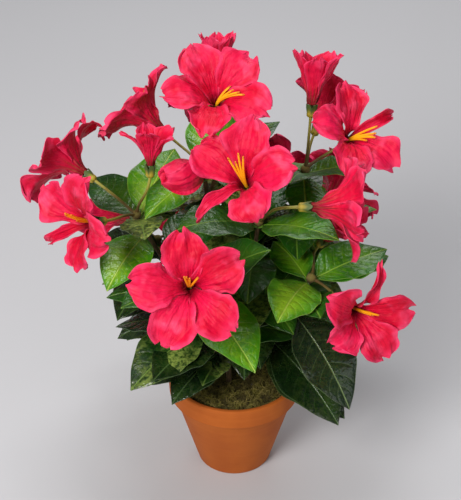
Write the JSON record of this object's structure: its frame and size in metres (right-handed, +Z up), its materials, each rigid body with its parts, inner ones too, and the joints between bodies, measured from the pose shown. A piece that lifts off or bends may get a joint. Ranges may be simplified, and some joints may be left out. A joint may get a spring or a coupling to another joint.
{
  "type": "artificial hibiscus bush in a clay pot",
  "caption": "Fabric flowering bush with open red blooms, glossy leaves and wired stems, set in moss in a small round tapered clay pot with a thick rim band.",
  "frame": {"origin": "centre of the pot's flat underside", "axes": "+Z up along the pot's axis, +X to the right and -Y towards the viewer who sees the bush's front"},
  "size_m": [0.3229, 0.3265, 0.4129],
  "materials": {
    "clay": "matt unglazed orange clay",
    "moss": "dry fibrous olive-brown moss",
    "stem": "brown wrapped wire with a bark relief",
    "leaf": "coated fabric, glossy, with pale veins",
    "bloom": "soft fabric with fine creases",
    "calyx": "soft moulded green plastic",
    "stamen": "yellow-orange plastic threads"
  },
  "bodies": {
    "root": {"pot": "clay", "moss_plug": "moss", "stem_left": "stem", "stem_centre": "stem", "stem_top": "stem", "stem_right": "stem", "stem_low_right": "stem", "stem_front_left": "stem", "stem_back": "stem", "stem_back_left": "stem", "stem_back_right": "stem", "leaves_left": "leaf", "leaves_centre": "leaf", "leaves_top": "leaf", "leaves_right": "leaf", "leaves_low_right": "leaf", "leaves_front_left": "leaf", "leaves_back": "leaf", "leaves_back_left": "leaf", "leaves_back_right": "leaf", "bloom_far_left": "bloom", "bloom_left": "bloom", "bloom_left_upright": "bloom", "bloom_top_left": "bloom", "bloom_top": "bloom", "bloom_top_bud": "bloom", "bloom_bud": "bloom", "bloom_centre": "bloom", "bloom_right_side": "bloom", "bloom_right_upright": "bloom", "bloom_right_back": "bloom", "bloom_right": "bloom", "bloom_right_hidden": "bloom", "bloom_low_right": "bloom", "bloom_front": "bloom", "bloom_back_high": "bloom", "bloom_back": "bloom", "bloom_back_left": "bloom", "bloom_back_low": "bloom", "bloom_back_right": "bloom"}
  },
  "joints": []
}
